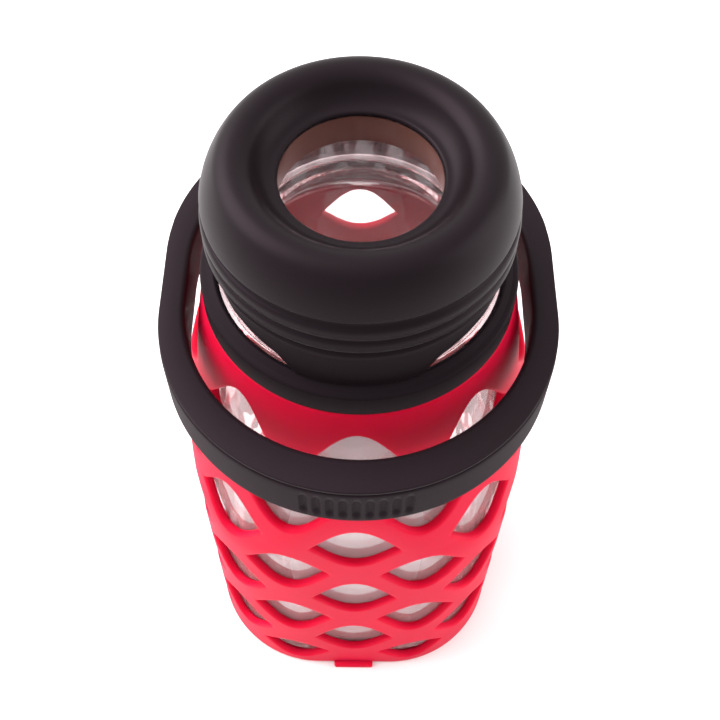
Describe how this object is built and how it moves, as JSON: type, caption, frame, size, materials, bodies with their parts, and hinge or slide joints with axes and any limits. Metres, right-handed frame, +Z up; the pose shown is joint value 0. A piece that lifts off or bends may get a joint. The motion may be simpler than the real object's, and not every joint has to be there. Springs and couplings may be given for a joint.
{
  "type": "glass water bottle",
  "caption": "Glass water bottle with a rounded-square body in a lattice silicone sleeve, a domed screw-on drinking cap and a hinged carry loop.",
  "frame": {"origin": "centre of the bottle's base, on the surface it stands on", "axes": "+Z up along the bottle's axis; -Y is the front, with the cap's tab and the loop's grip; the hinge is at +Y"},
  "size_m": [0.0804, 0.0952, 0.1725],
  "materials": {
    "clear_glass": "clear, polished",
    "sleeve_silicone": "satin red silicone",
    "cap_plastic": "soft-touch black",
    "shell_plastic": "soft-touch black with a faint stipple",
    "grip_rubber": "matt black overmould",
    "liner_plastic": "smoked gloss",
    "gasket_silicone": "translucent silicone",
    "pin_steel": "drawn stainless wire"
  },
  "bodies": {
    "bottle": {"glass_bottle": "clear_glass", "silicone_sleeve": "sleeve_silicone", "neck_collar": "cap_plastic", "hinge_pin": "pin_steel"},
    "loop": {"carry_loop": "cap_plastic", "loop_grip": "grip_rubber"},
    "seal": {"rim_gasket": "gasket_silicone"},
    "cap": {"cap_body": "cap_plastic", "cap_shell": "shell_plastic", "spout_liner": "liner_plastic"}
  },
  "joints": [
    {"name": "loop_swing", "type": "hinge", "parent": "bottle", "child": "loop", "pos_m": [0, 0.0366, 0.1312], "axis": [-1, 0, 0], "range_deg": [0, 90]},
    {"name": "cap_lift", "type": "slide", "parent": "bottle", "child": "seal", "axis": [0, 0, 1], "range_m": [0, 0.006]},
    {"name": "cap_turn", "type": "hinge", "parent": "seal", "child": "cap", "pos_m": [0, 0, 0.16], "axis": [0, 0, 1], "range_deg": [0, 540]}
  ],
  "couplings": [
    {"joint": "cap_lift", "follows": "cap_turn", "m_per_rad": 0.00063662}
  ]
}
